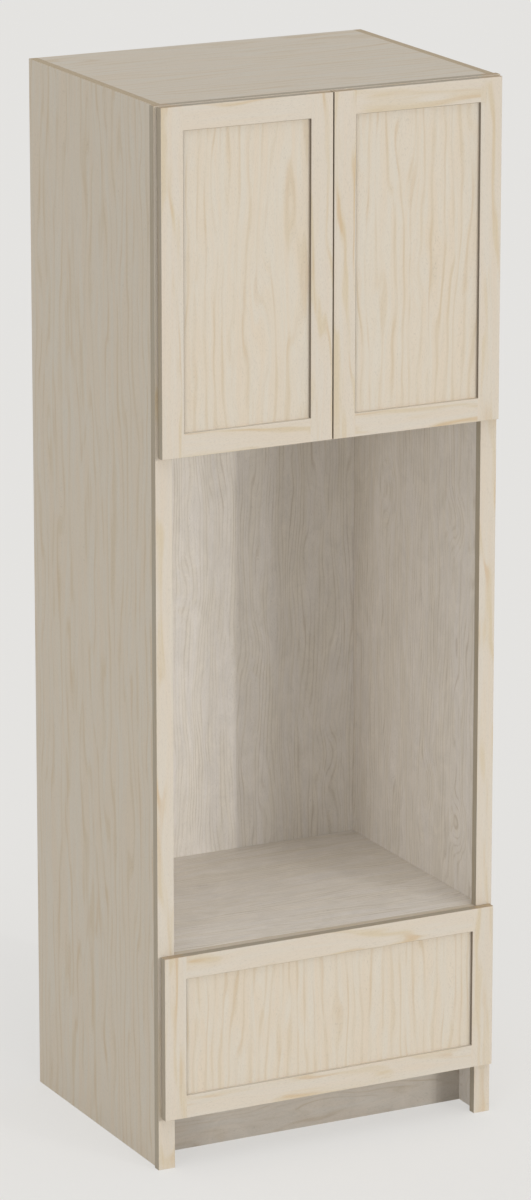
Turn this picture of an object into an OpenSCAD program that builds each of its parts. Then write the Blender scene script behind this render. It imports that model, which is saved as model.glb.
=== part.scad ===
/* [Cabinet] */
// Width across the face frame
cab_w = 800.1; // [660:0.1:970]
// Height from the floor to the top
cab_h = 2286; // [2080:0.1:2750]
// Depth from the front of the face frame to the wall
cab_d = 609.6; // [500:0.1:735]
// Height of the toe space under the bottom rail
toe_h = 114.3; // [95:0.1:140]
// Distance from the face frame's front to the toe-kick board
toe_recess = 92.1; // [60:0.1:120]
// Height of the drawer opening in the face frame
drawer_open_h = 284.2; // [230:0.1:345]
// Height of the oven opening in the face frame
oven_open_h = 1079.5; // [700:0.1:1300]

/* [Boards] */
// Thickness of the side panels
side_t = 19.05; // [18:0.05:23]
// Thickness of the top panel
top_t = 19.05; // [15:0.05:22]
// Thickness of the decks and of the bottom panel
deck_t = 19.05; // [15:0.05:22]
// Thickness of the back panel
back_t = 12.7; // [6:0.1:16]
// Thickness of the toe-kick board
toe_t = 19.05; // [12:0.05:22]
// Overhang of the face frame past the side panels
frame_lip = 4.7625; // [3:0.0125:6]
// Thickness of the tongue on the top panel's ends
top_tongue_t = 9.5; // [6:0.1:12]
// Depth of the dadoes and rabbets in the side panels
dado_d = 9.5; // [5:0.1:12]
// Clearance at the ends of boards let into dadoes
joint_fit = 0.1; // [0.05:0.05:0.3]

/* [Face frame] */
// Thickness of the face frame
frame_t = 19.05; // [18:0.05:25]
// Width of the face frame's stiles
stile_w = 38.1; // [36:0.1:60]
// Height of the face frame's rails
rail_h = 38.1; // [36:0.1:50]
// Radius of the dowels between face frame and sides
dowel_r = 4; // [3:0.5:5]
// Length of the dowels
dowel_l = 28; // [20:1:36]
// Depth of a dowel in the face frame
dowel_in_frame = 10; // [8:1:12]
// Dowels along each side panel
dowel_count = 7; // [4:1:12]
// Radial clearance of dowels and pins in their holes
pin_fit = 0.05; // [0.02:0.01:0.1]

/* [Doors and drawer front] */
// Thickness of the doors and of the drawer front
door_t = 19.05; // [19.05:0.05:23]
// Gap between the face frame and the back of the doors
door_gap = 1.6; // [1.6:0.1:2.5]
// Face frame left visible above the doors
top_reveal = 0.8; // [0.5:0.1:6]
// Gap between the two doors
door_split = 3.2; // [2:0.1:5]
// Height of the doors' lower edge over the oven opening
door_low_reveal = 0.8; // [0.2:0.1:6]
// Rise of the drawer front over the rail above it
drawer_rise = 1.6; // [0:0.1:3]
// Height of the drawer front's lower edge over the toe space
drawer_low_reveal = 1.6; // [0.5:0.1:6]
// Width of the stiles and rails of doors and drawer front
shaker_w = 50.8; // [48:0.1:76]
// Width of the groove that holds a panel
groove_w = 6.35; // [5:0.05:7]
// Depth of the groove that holds a panel
groove_d = 9.5; // [7:0.1:10]
// Gap round a panel at the bottom of its groove
panel_float = 1.6; // [1:0.1:2]
// Clearance of a panel in the width of its groove
panel_fit = 0.1; // [0.05:0.05:0.2]
// Radius of the bumper pads
bumper_r = 4; // [3:0.5:6]

/* [Hinges] */
// Distance of a hinge's centre from the door's end
hinge_end = 88.9; // [70:0.1:150]
// Radius of the hinge cup
cup_r = 17.5; // [17:0.1:17.5]
// Depth of the hinge cup
cup_depth = 12.5; // [12:0.1:12.5]
// Wood between the door's edge and the cup
cup_edge = 5.5; // [4:0.1:7]
// Distance from the face frame's opening to the cup's outer edge
hinge_reach = 26.25; // [26:0.05:26.5]
// Wall of the cup
cup_wall = 1; // [0.8:0.1:1]
// Thickness of the cup's flange
flange_t = 1.6; // [1.2:0.1:1.6]
// Distance between a cup's two screws
cup_screw_pitch = 45; // [42:1:48]
// Offset of a cup's screws from its centre
cup_screw_off = 9.5; // [8:0.5:9.5]
// Pivot in the cup: distance from the cup's centre
cup_pivot_off = 9.3; // [9:0.1:9.5]
// Pivot in the cup: depth below the door's back
cup_pivot_deep = 2.7; // [2.6:0.1:3]
// Pivot on the arm: distance past the face frame's opening
arm_pivot_in = 4.25; // [4.1:0.05:4.3]
// Pivot on the arm: distance below the door's back
arm_pivot_deep = 0.7; // [0.6:0.1:0.8]
// Radius of the hinge pins
hinge_pin_r = 1.25; // [1:0.05:1.3]
// Radius of a link's eyes
link_r = 2; // [1.8:0.1:2]
// Thickness of a link between its eyes
link_t = 2.2; // [1.6:0.1:2.2]
// Width of a link
link_w = 8; // [6:0.5:9]
// Gap beside a link
link_gap = 0.3; // [0.2:0.05:0.5]
// Thickness of the hinge's sheet steel
sheet_t = 1.6; // [1.2:0.1:2]
// Height of an arm's plate
arm_plate_h = 50; // [46:1:60]
// Distance between an arm's two screws
arm_screw_pitch = 36; // [32:1:40]

/* [Drawer] */
// Clearance over the drawer box
box_high = 42.9; // [20:0.1:100]
// Thickness of the drawer box's sides
box_t = 15.9; // [12:0.1:16]
// Thickness of the drawer bottom
bottom_t = 6.35; // [5:0.05:9]
// Height of the drawer bottom over the box's lower edge
bottom_up = 12.7; // [10:0.1:16]
// Clearance under the drawer box
box_low = 12.7; // [8:0.1:20]
// Dovetails in each corner of the drawer box
tail_count = 5; // [3:1:8]
// Taper of a dovetail on each side
tail_taper = 2.2; // [1:0.1:3]

/* [Drawer slides] */
// Clear depth behind the drawer and its slides
slide_rear = 60.3; // [25:0.1:120]
// Thickness of a complete slide
slide_t = 12.7; // [12.7:0.1:16]
// Half height of the cabinet member
slide_half_h = 22.5; // [22:0.1:24]
// Thickness of a slide member's steel
member_t = 1.2; // [1:0.1:1.4]
// Gap for the balls between two members
ball_gap = 4.2; // [4:0.1:4.4]
// Radius of the balls
ball_r = 1.8; // [1.6:0.05:1.8]
// Balls in a cage
ball_count = 6; // [4:1:8]
// Length of a ball cage
cage_l = 180; // [140:1:200]
// Height of the slides' centre over the drawer box's lower edge
slide_up = 63.5; // [50:0.1:90]
// Distance of the slides behind the face frame's front
slide_back = 3.2; // [2:0.1:6]
// Height of the spacers behind the slides
spacer_h = 63.5; // [50:0.1:80]

/* [Shelf and rails] */
// Thickness of the adjustable shelf
shelf_t = 19.05; // [15:0.05:22]
// Gap between the shelf's ends and the sides
shelf_gap = 1.6; // [1:0.1:3]
// Distance of the shelf behind the face frame
shelf_back = 25; // [6:1:60]
// Radius of the shelf pins
shelf_pin_r = 2.5; // [2:0.1:3]
// Depth of the shelf-pin holes
shelf_hole_d = 11; // [9:0.5:12]
// Pitch of the shelf-pin holes
shelf_pitch = 32; // [25:1:40]
// Height over and under the hole rows that is kept free of holes
shelf_row_end = 160; // [100:1:200]
// Distance of the hole rows from the compartment's front and back
shelf_row_in = 60; // [40:1:90]
// Height of a hanging rail
hanger_h = 88.9; // [70:0.1:110]
// Thickness of a hanging rail
hanger_t = 19.05; // [15:0.05:22]
// Distance between the two wall screws
wall_screw_pitch = 406.4; // [400:0.1:410]
// Radius of the holes for the wall screws
wall_screw_r = 2.75; // [2:0.05:3.5]
// Height and width of the cleats under the oven deck
cleat_h = 38.1; // [25:0.1:45]
// Thickness of the cleats under the oven deck
cleat_t = 19.05; // [15:0.05:22]

/* [Screws] */
// Radius of a wood screw's shank
screw_r = 2; // [1.6:0.1:2.2]
// Radius of a wood screw's head
screw_head_r = 4; // [3.5:0.1:4.2]
// Radius of a pocket screw's shank
pocket_screw_r = 1.8; // [1.5:0.1:2]
// Length of a pocket screw's shank
pocket_screw_l = 30; // [25:1:34]
// Radius of a pocket hole
pocket_r = 4.75; // [4.6:0.05:4.75]
// Angle of a pocket hole to the rail
pocket_angle = 15; // [14:0.5:16]
// Distance from a rail's end to the seat of its pocket screws
pocket_seat = 14; // [12:0.5:15]

/* [Hidden] */
$fn = 48;
e = 1; // how far a cut reaches past the face that it opens

WOOD = [0.84, 0.79, 0.72];
PLY = [0.69, 0.65, 0.59];
STEEL = [0.72, 0.73, 0.74];
NICKEL = [0.62, 0.61, 0.58];
CLEAR = [0.85, 0.86, 0.84];

// The face that the doors show lies at the front of the box, the wall side at its back.
all_d = cab_d + door_gap + door_t;
y_show = -all_d / 2;
y_door = y_show + door_t;
y_face = y_door + door_gap;
y_fb = y_face + frame_t;
y_wall = y_face + cab_d;
y_bi = y_wall - back_t;

x_frame = cab_w / 2;
x_out = x_frame - frame_lip;
x_in = x_out - side_t;
x_open = x_frame - stile_w;
x_door = x_open + cup_edge + hinge_reach;
x_split = door_split / 2;

z_bottom_rail = toe_h;
z_drawer_open = z_bottom_rail + rail_h;
z_low_rail = z_drawer_open + drawer_open_h;
z_oven = z_low_rail + rail_h;
z_up_rail = z_oven + oven_open_h;
z_cupboard = z_up_rail + rail_h;
z_top_rail = cab_h - rail_h;
z_top = cab_h - top_t;

z_door0 = z_up_rail + door_low_reveal;
z_door1 = cab_h - top_reveal;
z_front0 = toe_h + drawer_low_reveal;
z_front1 = z_oven + drawer_rise;

deck_tops = [z_drawer_open, z_oven, z_cupboard];
panel_t = groove_w - 2 * panel_fit;
tongue = groove_d - panel_float;

// Hinge: the cup's axis and the two pivots
x_cup = x_door - cup_edge - cup_r;
x_cup_pivot = x_cup + cup_pivot_off;
y_cup_pivot = y_door - cup_pivot_deep;
x_arm_pivot = x_open - arm_pivot_in;
y_arm_pivot = y_door - arm_pivot_deep;
z_hinges = [z_door0 + hinge_end, z_door1 - hinge_end];
lug_in = link_w / 2 + link_gap;

// Drawer box and slides
x_slide = x_open - slide_t;
z_box = z_drawer_open + box_low;
box_h = drawer_open_h - box_low - box_high;
slide_l = cab_d - back_t - slide_back - slide_rear;
z_slide = z_box + slide_up;
y_box0 = y_door;
y_box1 = y_box0 + slide_l;
y_slide0 = y_face + slide_back;
mid_half_h = slide_half_h - member_t - ball_gap;
in_half_h = mid_half_h - member_t - ball_gap;

// Shelf
z_shelf_mid = (z_cupboard + z_top - hanger_h) / 2;
y_shelf_rows = [y_fb + shelf_row_in, y_bi - shelf_row_in];
z_shelf = z_shelf_mid + shelf_pin_r;
shelf_ks = max(0, floor((z_shelf_mid - z_cupboard - shelf_row_end) / shelf_pitch));

// ---------- shared shapes ----------

// A box given by its two corners
module slab(x0, x1, y0, y1, z0, z1) {
    translate([x0, y0, z0]) cube([x1 - x0, y1 - y0, z1 - z0]);
}

// A part on the right and its mirror image on the left
module both_sides() {
    children();
    mirror([1, 0, 0]) children();
}

// A rod along X, Y or Z from a point
module rod_x(x, y, z, r, l) translate([x, y, z]) rotate([0, 90, 0]) cylinder(r = r, h = l);
module rod_y(x, y, z, r, l) translate([x, y, z]) rotate([-90, 0, 0]) cylinder(r = r, h = l);
module rod_z(x, y, z, r, l) translate([x, y, z]) cylinder(r = r, h = l);

// A countersunk wood screw, its head flush with the origin and its point along +Z
module wood_screw(l) {
    cylinder(r1 = screw_head_r, r2 = screw_r, h = screw_head_r - screw_r);
    cylinder(r = screw_r, h = l - screw_r);
    translate([0, 0, l - screw_r]) cylinder(r1 = screw_r, r2 = 0.3, h = screw_r);
}

// The hole that the screw sits in
module screw_hole(l) {
    cylinder(r1 = screw_head_r + pin_fit, r2 = screw_r + pin_fit, h = screw_head_r - screw_r);
    cylinder(r = screw_r + pin_fit, h = l + pin_fit);
    translate([0, 0, -e]) cylinder(r = screw_head_r + pin_fit, h = e);
}

// ---------- carcass ----------

// Places of the dowels along a side panel's front edge
dowel_zs = [for (i = [0 : dowel_count - 1])
    toe_h / 2 + i * (cab_h - rail_h - toe_h / 2 - 30) / (dowel_count - 1)];
x_dowel = (x_in + x_out) / 2;

// Screws through a cleat and a spacer into the side panel, and through the back
cleat_ys = [for (f = [0.12, 0.5, 0.88]) y_fb + f * (y_bi - y_fb)];
z_cleat_screw = z_oven - deck_t - cleat_h / 2;
spacer_y1 = y_bi - hanger_t;
spacer_ys = [for (f = [0.2, 0.55, 0.9]) y_fb + f * (spacer_y1 - y_fb)];
spacer_z_off = spacer_h / 2 - 6;
back_zs = [for (f = [0.05, 0.24, 0.43, 0.62, 0.81, 0.96]) f * z_top];
back_deck_xs = [for (f = [-0.6, 0, 0.6]) f * x_in];
x_back_screw = x_in + dado_d / 2;
cleat_screw_l = cleat_t + side_t - 7.1;
back_screw_l = back_t + 18.3;
spacer_screw_l = x_in - x_open + side_t - 7.1;
slide_screw_l = member_t + x_in - x_open - 3;

module at_cleat_screws() both_sides() for (y = cleat_ys)
    translate([x_in - cleat_t, y, z_cleat_screw]) rotate([0, 90, 0]) children();

module at_spacer_screws() both_sides() for (y = spacer_ys, s = [-1, 1])
    translate([x_open, y, z_slide + s * spacer_z_off]) rotate([0, 90, 0]) children();

module at_back_screws() {
    both_sides() for (z = back_zs)
        translate([x_back_screw, y_wall, z]) rotate([90, 0, 0]) children();
    for (x = back_deck_xs, z = deck_tops)
        translate([x, y_wall, z - deck_t / 2]) rotate([90, 0, 0]) children();
}

module at_dowels() both_sides() for (z = dowel_zs)
    translate([x_dowel, y_fb - dowel_in_frame, z]) rotate([-90, 0, 0]) children();

module at_shelf_holes(ks) for (y = y_shelf_rows, k = ks)
    translate([x_in, y, z_shelf_mid + k * shelf_pitch]) rotate([0, 90, 0]) children();

module side_panel() color(WOOD) difference() {
    slab(x_in, x_out, y_fb, y_wall, 0, cab_h);
    slab(x_in - e, x_in + dado_d, y_fb - e, y_wall + e, z_top, z_top + top_tongue_t);
    slab(x_in - e, x_in + dado_d, y_bi, y_wall + e, -e, z_top + e);
    for (z = deck_tops) slab(x_in - e, x_in + dado_d, y_fb - e, y_bi + e, z - deck_t, z);
    at_shelf_holes([-shelf_ks : shelf_ks])
        translate([0, 0, -e]) cylinder(r = shelf_pin_r + pin_fit, h = shelf_hole_d + e);
    at_dowels() cylinder(r = dowel_r + pin_fit, h = dowel_l + pin_fit);
    at_cleat_screws() screw_hole(cleat_screw_l);
    at_spacer_screws() screw_hole(spacer_screw_l);
    at_back_screws() screw_hole(back_screw_l);
}

module right_side_panel() side_panel();
module left_side_panel() mirror([1, 0, 0]) side_panel();

// The top panel lies flush between the side panels, with a tongue on each end let into their dadoes
module top_panel() color(WOOD) {
    slab(-x_in, x_in, y_fb, y_wall, z_top, cab_h);
    slab(-x_in - dado_d + joint_fit, x_in + dado_d - joint_fit, y_fb, y_wall, z_top, z_top + top_tongue_t);
}

module deck(z_up) difference() {
    slab(-x_in - dado_d + joint_fit, x_in + dado_d - joint_fit, y_fb, y_bi, z_up - deck_t, z_up);
    at_back_screws() screw_hole(back_screw_l);
}

module upper_deck() color(PLY) deck(z_cupboard);
module oven_deck() color(PLY) deck(z_oven);
module bottom_panel() color(PLY) deck(z_drawer_open);

module at_wall_holes() for (s = [-1, 1], z = hanger_zs)
    translate([s * wall_screw_pitch / 2, y_wall + e, z + hanger_h / 2]) rotate([90, 0, 0]) children();

hanger_zs = [z_top - hanger_h, z_drawer_open];

module back_panel() color(PLY) difference() {
    slab(-x_in - dado_d + joint_fit, x_in + dado_d - joint_fit, y_bi, y_wall, 0, z_top);
    at_back_screws() screw_hole(back_screw_l);
    at_wall_holes() cylinder(r = wall_screw_r, h = back_t + 2 * e);
}

module hanging_rails() color(PLY) difference() {
    for (z = hanger_zs) slab(-x_in, x_in, y_bi - hanger_t, y_bi, z, z + hanger_h);
    at_wall_holes() cylinder(r = wall_screw_r, h = back_t + hanger_t + 3 * e);
}

z_toe_top = z_drawer_open - deck_t;
y_toe = y_face + toe_recess;
toe_block = 38.1;

module toe_kick_board() color(WOOD) slab(-x_in, x_in, y_toe, y_toe + toe_t, 0, z_toe_top);

// Glue blocks hold the toe-kick board to the sides and to the bottom panel
module toe_kick_blocks() color(PLY) {
    both_sides() slab(x_in - toe_block, x_in, y_toe + toe_t, y_toe + toe_t + toe_block,
        toe_block / 2, z_toe_top);
    slab(-2 * toe_block, 2 * toe_block, y_toe + toe_t, y_toe + toe_t + toe_block,
        z_toe_top - toe_block, z_toe_top);
}

module deck_cleats() color(PLY) difference() {
    both_sides() slab(x_in - cleat_t, x_in, y_fb, y_bi, z_oven - deck_t - cleat_h, z_oven - deck_t);
    at_cleat_screws() screw_hole(cleat_screw_l);
}

// Blocks that bring the slides in line with the edge of the face frame
module slide_spacers() color(PLY) difference() {
    both_sides() slab(x_open, x_in, y_fb, spacer_y1, z_slide - spacer_h / 2, z_slide + spacer_h / 2);
    at_spacer_screws() screw_hole(spacer_screw_l);
    both_sides() at_slide_screws() screw_hole(slide_screw_l);
}

module shelf() color(PLY) slab(-x_in + shelf_gap, x_in - shelf_gap,
    y_fb + shelf_back, y_bi - joint_fit, z_shelf, z_shelf + shelf_t);

// A peg in the side panel and a flat tongue under the shelf
module shelf_pin() {
    pin_l = shelf_hole_d - 1;
    cylinder(r = shelf_pin_r, h = pin_l);
    translate([-shelf_pin_r, -shelf_pin_r, -9]) cube([2 * shelf_pin_r, 2 * shelf_pin_r, 9]);
}

module shelf_pins() color(NICKEL) both_sides() at_shelf_holes([0]) shelf_pin();

// ---------- face frame ----------

// Pocket screws join the rails to the stiles: two at a rail's end, one where the top panel lies
rail_zs = [z_bottom_rail, z_low_rail, z_up_rail, z_top_rail];

module at_pocket(z0) both_sides() for (s = z0 < z_top_rail ? [-1, 1] : [-1])
    translate([x_open, y_face + frame_t / 2, z0 + rail_h / 2 + s * rail_h / 4])
        rotate([0, 0, -pocket_angle]) translate([-pocket_seat, 0, 0]) rotate([0, 90, 0]) children();

module pocket_screw() {
    translate([0, 0, -2]) cylinder(r = pocket_r - 0.3, h = 2);
    cylinder(r = pocket_screw_r, h = pocket_screw_l);
}

module pocket_hole() {
    translate([0, 0, -60]) cylinder(r = pocket_r, h = 60);
    translate([0, 0, -e]) cylinder(r = pocket_screw_r + pin_fit, h = pocket_screw_l + pin_fit + e);
}

module frame_stile() color(WOOD) difference() {
    slab(x_open, x_frame, y_face, y_fb, 0, cab_h);
    at_dowels() cylinder(r = dowel_r + pin_fit, h = dowel_l);
    for (z = rail_zs) at_pocket(z)
        cylinder(r = pocket_screw_r + pin_fit, h = pocket_screw_l + pin_fit);
    at_arm_screws() screw_hole(arm_screw_l);
}

module right_frame_stile() frame_stile();
module left_frame_stile() mirror([1, 0, 0]) frame_stile();

module frame_rail(z0) difference() {
    slab(-x_open, x_open, y_face, y_fb, z0, z0 + rail_h);
    at_pocket(z0) pocket_hole();
}

module top_frame_rail() color(WOOD) frame_rail(z_top_rail);
module upper_mid_rail() color(WOOD) frame_rail(z_up_rail);
module lower_mid_rail() color(WOOD) frame_rail(z_low_rail);
module bottom_frame_rail() color(WOOD) frame_rail(z_bottom_rail);

module frame_dowels() color(PLY) at_dowels() cylinder(r = dowel_r, h = dowel_l - pin_fit);
module pocket_screws() color(STEEL) for (z = rail_zs) at_pocket(z) pocket_screw();

module cabinet_screws() color(STEEL) {
    at_cleat_screws() wood_screw(cleat_screw_l);
    at_spacer_screws() wood_screw(spacer_screw_l);
    at_back_screws() wood_screw(back_screw_l);
    both_sides() at_slide_screws() wood_screw(slide_screw_l);
}

// Soft pads that the doors and the drawer front close against
bumper_in = 16;
module bumpers() color(CLEAR) {
    for (s = [-1, 1], z = [z_up_rail + bumper_in, cab_h - bumper_in])
        rod_y(s * (x_split + bumper_in), y_door + pin_fit, z, bumper_r, door_gap - pin_fit);
    for (s = [-1, 1], z = [z_bottom_rail + bumper_in, z_oven - bumper_in])
        rod_y(s * (x_open - bumper_in), y_door + pin_fit, z, bumper_r, door_gap - pin_fit);
}

// ---------- doors and drawer front ----------

// A stile of a framed door: its outer edge at x0, its groove along the edge at x1
module shaker_stile(x0, x1, z0, z1) difference() {
    xa = min(x0, x1);
    xb = max(x0, x1);
    slab(xa, xb, y_show, y_door, z0, z1);
    grooved(x1 < x0 ? x1 - e : x1 - groove_d, x1 < x0 ? x1 + groove_d : x1 + e, z0 - e, z1 + e);
}

// The space of a groove, centred in the door's thickness
module grooved(xa, xb, za, zb)
    slab(xa, xb, y_show + (door_t - groove_w) / 2, y_show + (door_t + groove_w) / 2, za, zb);

// A rail with a stub tenon at each end and a groove along the edge towards the panel
module shaker_rail(x0, x1, z0, z1, groove_up) difference() {
    union() {
        slab(x0 + shaker_w, x1 - shaker_w, y_show, y_door, z0, z1);
        grooved(x0 + shaker_w - groove_d + joint_fit, x1 - shaker_w + groove_d - joint_fit, z0, z1);
    }
    zg = groove_up ? z1 - groove_d : z0 - e;
    grooved(x0, x1, zg, zg + groove_d + e);
}

// The flat panel floats in the grooves
module shaker_panel(x0, x1, z0, z1)
    slab(x0 + shaker_w - tongue, x1 - shaker_w + tongue,
        y_show + (door_t - panel_t) / 2, y_show + (door_t + panel_t) / 2,
        z0 + shaker_w - tongue, z1 - shaker_w + tongue);

module door_hinge_stile() color(WOOD) difference() {
    shaker_stile(x_door, x_door - shaker_w, z_door0, z_door1);
    for (z = z_hinges) {
        rod_y(x_cup, y_door - cup_depth, z, cup_r, cup_depth + e);
        translate([0, 0, z]) flange(flange_t + e);
    }
    at_cup_screws() cup_screw_hole();
}
module door_meeting_stile() color(WOOD) shaker_stile(x_split, x_split + shaker_w, z_door0, z_door1);
module door_top_rail() color(WOOD)
    shaker_rail(x_split, x_door, z_door1 - shaker_w, z_door1, false);
module door_bottom_rail() color(WOOD)
    shaker_rail(x_split, x_door, z_door0, z_door0 + shaker_w, true);
module door_panel() color(WOOD) shaker_panel(x_split, x_door, z_door0, z_door1);

module right_door_hinge_stile() door_hinge_stile();
module right_door_meeting_stile() door_meeting_stile();
module right_door_top_rail() door_top_rail();
module right_door_bottom_rail() door_bottom_rail();
module right_door_panel() door_panel();
module left_door_hinge_stile() mirror([1, 0, 0]) door_hinge_stile();
module left_door_meeting_stile() mirror([1, 0, 0]) door_meeting_stile();
module left_door_top_rail() mirror([1, 0, 0]) door_top_rail();
module left_door_bottom_rail() mirror([1, 0, 0]) door_bottom_rail();
module left_door_panel() mirror([1, 0, 0]) door_panel();

module drawer_front_right_stile() color(WOOD)
    shaker_stile(x_door, x_door - shaker_w, z_front0, z_front1);
module drawer_front_left_stile() mirror([1, 0, 0]) drawer_front_right_stile();
module drawer_front_top_rail() color(WOOD)
    shaker_rail(-x_door, x_door, z_front1 - shaker_w, z_front1, false);
module drawer_front_bottom_rail() color(WOOD)
    shaker_rail(-x_door, x_door, z_front0, z_front0 + shaker_w, true);
module drawer_front_panel() color(WOOD) difference() {
    shaker_panel(-x_door, x_door, z_front0, z_front1);
    at_front_screws() screw_hole(front_screw_l);
}

// A sheet glued behind the panel fills the frame, so that the screws have wood to hold
module drawer_front_backer() color(PLY) difference() {
    xb = x_door - shaker_w - joint_fit;
    inset = shaker_w + joint_fit;
    slab(-xb, xb, y_show + (door_t + panel_t) / 2, y_door, z_front0 + inset, z_front1 - inset);
    at_front_screws() screw_hole(front_screw_l);
}

// ---------- hinges ----------

cup_screw_l = 12;
cup_screw_r = 1.75;
cup_head_r = cup_screw_r + flange_t;
wing = 7;

// Flange of the cup, let in flush with the door's back
module flange(t) translate([0, y_door - flange_t, 0]) rotate([-90, 0, 0]) linear_extrude(t) {
    translate([x_cup, 0]) circle(r = cup_r + 1.5);
    translate([x_cup - cup_screw_off - wing, -cup_screw_pitch / 2]) square([2 * wing, cup_screw_pitch]);
    for (s = [-1, 1]) translate([x_cup - cup_screw_off, s * cup_screw_pitch / 2]) circle(r = wing);
}

module at_cup_screws() for (z = z_hinges, s = [-1, 1])
    translate([x_cup - cup_screw_off, y_door, z + s * cup_screw_pitch / 2]) rotate([90, 0, 0]) children();

module cup_screw() {
    cylinder(r1 = cup_head_r, r2 = cup_screw_r, h = flange_t);
    cylinder(r = cup_screw_r, h = cup_screw_l);
}

module cup_screw_hole() {
    cylinder(r1 = cup_head_r + pin_fit, r2 = cup_screw_r + pin_fit, h = flange_t);
    cylinder(r = cup_screw_r + pin_fit, h = cup_screw_l + pin_fit);
    translate([0, 0, -e]) cylinder(r = cup_head_r + pin_fit, h = e);
}

// Drawn cup with its flange, two lugs and the pin that the link turns on
module hinge_cup(z) {
    difference() {
        union() {
            rod_y(x_cup, y_door - cup_depth, z, cup_r, cup_depth - flange_t);
            translate([0, 0, z]) flange(flange_t);
        }
        rod_y(x_cup, y_door - cup_depth + cup_wall, z, cup_r - cup_wall, cup_depth + e);
        at_cup_screws() cup_screw_hole();
    }
    for (s = [0, 1]) translate([0, 0, z]) mirror([0, 0, s])
        slab(x_cup_pivot - link_r, x_cup_pivot + link_r, y_door - cup_depth + cup_wall / 2,
            y_cup_pivot + link_r, lug_in, lug_in + sheet_t);
    rod_z(x_cup_pivot, y_cup_pivot, z - lug_in - sheet_t / 2, hinge_pin_r, 2 * lug_in + sheet_t);
}

module hinge_cups() color(NICKEL) for (z = z_hinges) hinge_cup(z);
module right_hinge_cups() hinge_cups();
module left_hinge_cups() mirror([1, 0, 0]) hinge_cups();
module right_cup_screws() color(NICKEL) at_cup_screws() cup_screw();
module left_cup_screws() mirror([1, 0, 0]) right_cup_screws();

// A link between the two pivots, with an eye at each end
module hinge_link(z) {
    dx = x_cup_pivot - x_arm_pivot;
    dy = y_cup_pivot - y_arm_pivot;
    translate([x_arm_pivot, y_arm_pivot, z - link_w / 2]) rotate([0, 0, atan2(dy, dx)])
        linear_extrude(link_w) difference() {
            union() {
                translate([0, -link_t / 2]) square([norm([dx, dy]), link_t]);
                for (x = [0, norm([dx, dy])]) translate([x, 0]) circle(r = link_r);
            }
            for (x = [0, norm([dx, dy])]) translate([x, 0]) circle(r = hinge_pin_r + pin_fit);
        }
}

module hinge_links() color(NICKEL) for (z = z_hinges) hinge_link(z);
module right_hinge_links() hinge_links();
module left_hinge_links() mirror([1, 0, 0]) hinge_links();

// Plate on the inner edge of the face frame, two cheeks and the pin at their tips
arm_y0 = y_face + 1.6;
arm_y1 = y_fb - 1.6;
arm_screw_l = 16;
arm_reach = 4.6;

module at_arm_screws() for (z = z_hinges, s = [-1, 1])
    translate([x_open - sheet_t, (arm_y0 + arm_y1) / 2, z + s * arm_screw_pitch / 2])
        rotate([0, 90, 0]) children();

module arm_screw() {
    translate([0, 0, -1.8]) cylinder(r = screw_head_r - 0.5, h = 1.8);
    cylinder(r = screw_r - 0.25, h = arm_screw_l);
}

module hinge_arm(z) {
    x1 = x_open - sheet_t;
    difference() {
        slab(x1, x_open, arm_y0, arm_y1, z - arm_plate_h / 2, z + arm_plate_h / 2);
        at_arm_screws() translate([0, 0, -e]) cylinder(r = screw_r - 0.25 + pin_fit, h = arm_screw_l);
    }
    for (s = [0, 1]) translate([0, 0, z]) mirror([0, 0, s]) translate([0, 0, lug_in])
        linear_extrude(sheet_t) {
            translate([x_arm_pivot, y_arm_pivot]) circle(r = link_r);
            polygon([
                [x_arm_pivot + link_r, y_arm_pivot],
                [x1, arm_y0 + 1], [x1, arm_y1],
                [x1 - 1, arm_y1], [x_open - arm_reach - link_r, arm_y1 - 6],
                [x_arm_pivot - link_r, y_arm_pivot]
            ]);
        }
    rod_z(x_arm_pivot, y_arm_pivot, z - lug_in - sheet_t / 2, hinge_pin_r, 2 * lug_in + sheet_t);
}

module hinge_arms() color(NICKEL) for (z = z_hinges) hinge_arm(z);
module right_hinge_arms() hinge_arms();
module left_hinge_arms() mirror([1, 0, 0]) hinge_arms();
module hinge_arm_screws() color(NICKEL) both_sides() at_arm_screws() arm_screw();

// ---------- drawer box ----------

tail_pitch = box_h / tail_count;
tail_w = tail_pitch * 0.56;

// The dovetails of one corner, as long as the board that they pass through is thick
module tails(y_root, out) for (i = [0 : tail_count - 1]) {
    zc = z_box + (i + 0.5) * tail_pitch;
    y_tip = y_root + out * box_t;
    translate([x_slide, 0, 0]) rotate([0, -90, 0]) linear_extrude(box_t) polygon([
        [zc - tail_w / 2, y_root], [zc - tail_w / 2 - tail_taper, y_tip],
        [zc + tail_w / 2 + tail_taper, y_tip], [zc + tail_w / 2, y_root]
    ]);
}

z_bottom = z_box + bottom_up;
bottom_in = 6.35;

// Groove for the drawer bottom, all round the inside of the box
module bottom_space(edge_fit, face_fit) {
    xe = x_slide - box_t + bottom_in - edge_fit;
    ye = box_t - bottom_in + edge_fit;
    slab(-xe, xe, y_box0 + ye, y_box1 - ye, z_bottom + face_fit, z_bottom + bottom_t - face_fit);
}

module drawer_side() color(PLY) difference() {
    union() {
        slab(x_slide - box_t, x_slide, y_box0 + box_t, y_box1 - box_t, z_box, z_box + box_h);
        tails(y_box0 + box_t, -1);
        tails(y_box1 - box_t, 1);
    }
    bottom_space(0, 0);
    at_member_screws() screw_hole(member_screw_l);
}

module right_drawer_side() drawer_side();
module left_drawer_side() mirror([1, 0, 0]) drawer_side();

module drawer_box_front() color(PLY) difference() {
    slab(-x_slide, x_slide, y_box0, y_box0 + box_t, z_box, z_box + box_h);
    both_sides() tails(y_box0 + box_t, -1);
    bottom_space(0, 0);
    at_front_screws() screw_hole(front_screw_l);
}

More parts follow.
